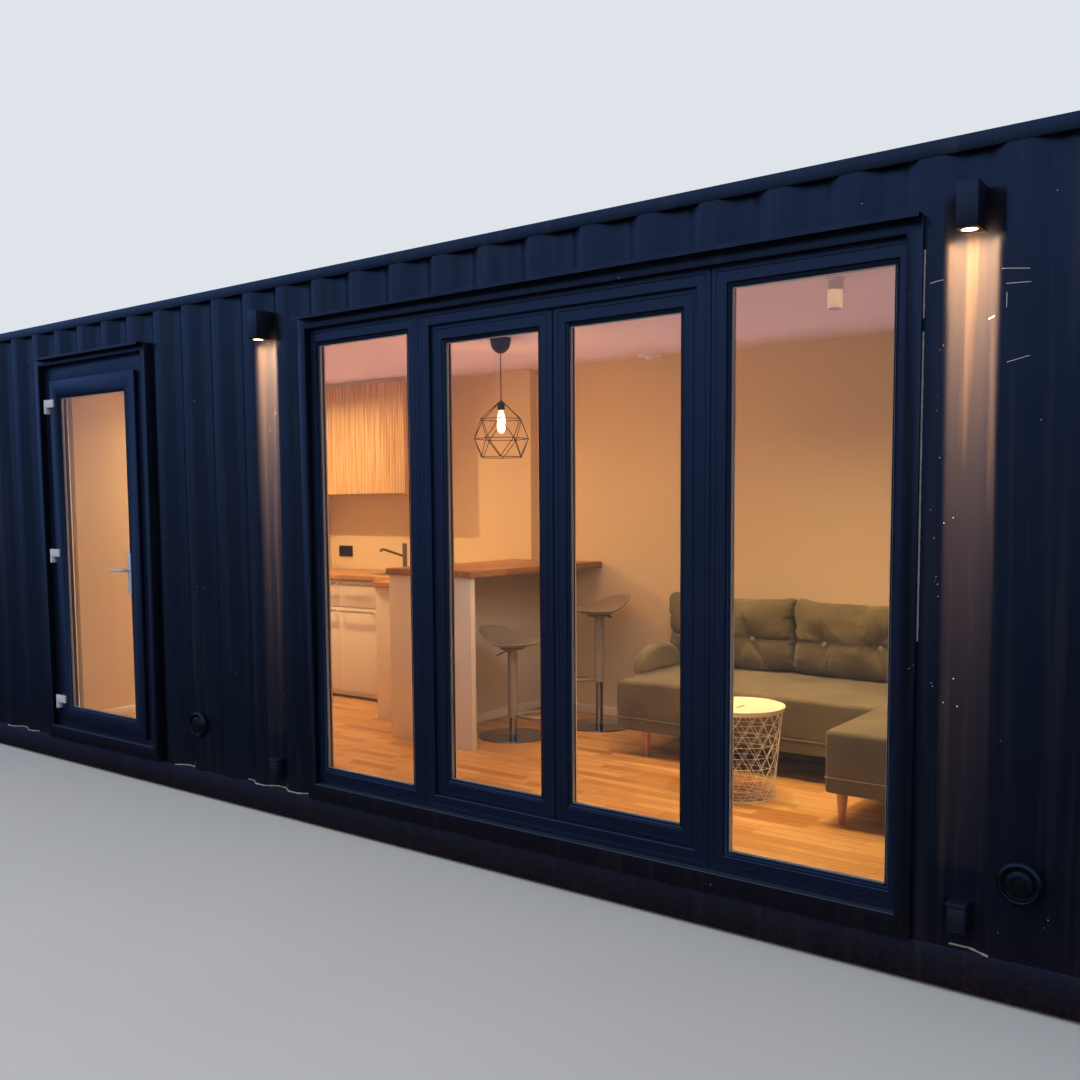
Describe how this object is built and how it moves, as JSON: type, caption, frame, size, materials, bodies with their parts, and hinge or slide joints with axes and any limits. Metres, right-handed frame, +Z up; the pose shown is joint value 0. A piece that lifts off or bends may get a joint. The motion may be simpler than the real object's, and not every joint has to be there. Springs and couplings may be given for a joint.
{
  "type": "shipping container cabin",
  "caption": "Corrugated steel container cabin with a glazed entrance door, a row of full height windows with a double door, wall lamps and a furnished room inside.",
  "frame": {"origin": "on the ground under the middle of the whole outline, wall lamps included", "axes": "+X along the container to the right as seen from the front, +Y from the front wall into the building, +Z up"},
  "size_m": [12.192, 2.512, 2.896],
  "materials": {
    "container_steel": "satin black paint on weathering steel",
    "frame_profile": "anthracite foil on window profile",
    "glass": "clear insulating glass",
    "white_board": "white painted lining board",
    "oak_board": "oiled oak look",
    "white_unit": "white lacquered furniture board",
    "steel_fitting": "brushed stainless steel",
    "hinge_white": "white powder coat",
    "aluminium_sill": "mill finish",
    "black_fitting": "black powder coat",
    "white_fitting": "white moulded plastic",
    "flex": "dark textile covered flex",
    "copper_wire": "dark bronze painted wire",
    "sofa_fabric": "grey green woven upholstery",
    "floor_insulation": "plywood and insulation"
  },
  "bodies": {
    "cabin": {"corner_castings": "container_steel", "corner_posts": "container_steel", "top_side_rails": "container_steel", "bottom_side_rails": "container_steel", "end_frame_rails": "container_steel", "floor_crossmembers": "container_steel", "front_wall_panel": "container_steel", "back_wall_panel": "container_steel", "end_wall_panels": "container_steel", "roof_panel": "container_steel", "front_wall_left_bay": "white_board", "front_wall_over_door": "white_board", "front_wall_middle_bay": "white_board", "front_wall_over_windows": "white_board", "front_wall_right_bay": "white_board", "back_wall_lining": "white_board", "end_wall_linings": "white_board", "ceiling_lining": "white_board", "floor_base": "floor_insulation", "plank_floor": "oak_board", "partition_wall": "white_board", "door_surround": "container_steel", "window_surround": "container_steel", "door_frame": "frame_profile", "fixed_window_frames": "frame_profile", "fixed_window_panes": "glass", "french_door_frame": "frame_profile", "door_hinge_barrels": "hinge_white", "drip_flashings": "container_steel", "sill_strips": "aluminium_sill", "wall_lamps": "black_fitting", "wall_vents": "black_fitting", "socket_boxes": "black_fitting", "ceiling_fittings": "white_fitting", "pendant_flex": "flex", "pendant_cage": "copper_wire", "kitchen_units": "white_unit", "kitchen_worktop": "oak_board", "kitchen_tap": "steel_fitting", "wall_cabinet": "white_unit", "service_riser": "white_board", "bar_panels": "white_unit", "bar_worktop": "oak_board", "bar_stools": "steel_fitting", "sofa_body": "sofa_fabric", "sofa_arm": "sofa_fabric", "sofa_back_cushions": "sofa_fabric", "sofa_legs": "oak_board", "side_table": "white_fitting"},
    "entrance_door": {"door_leaf": "frame_profile", "door_pane": "glass", "door_hinge_flags": "hinge_white", "door_handle_plate": "steel_fitting"},
    "lever": {"door_lever": "steel_fitting"},
    "left_leaf": {"left_leaf_frame": "frame_profile", "left_leaf_pane": "glass"},
    "right_leaf": {"right_leaf_frame": "frame_profile", "right_leaf_pane": "glass"}
  },
  "joints": [
    {"name": "entrance_door_hinge", "type": "hinge", "parent": "cabin", "child": "entrance_door", "pos_m": [-0.847, -1.19, 1.4], "axis": [0, 0, -1], "range_deg": [0, 110]},
    {"name": "door_lever_turn", "type": "hinge", "parent": "entrance_door", "child": "lever", "pos_m": [0.053, -1.211, 1.313], "axis": [0, -1, 0], "range_deg": [0, 40], "stiffness_Nm_per_rad": 1, "springref_deg": -20.05},
    {"name": "left_leaf_hinge", "type": "hinge", "parent": "cabin", "child": "left_leaf", "pos_m": [2.516, -1.064, 1.4], "axis": [0, 0, 1], "range_deg": [0, 90]},
    {"name": "right_leaf_hinge", "type": "hinge", "parent": "cabin", "child": "right_leaf", "pos_m": [4.008, -1.064, 1.4], "axis": [0, 0, -1], "range_deg": [0, 90]}
  ]
}
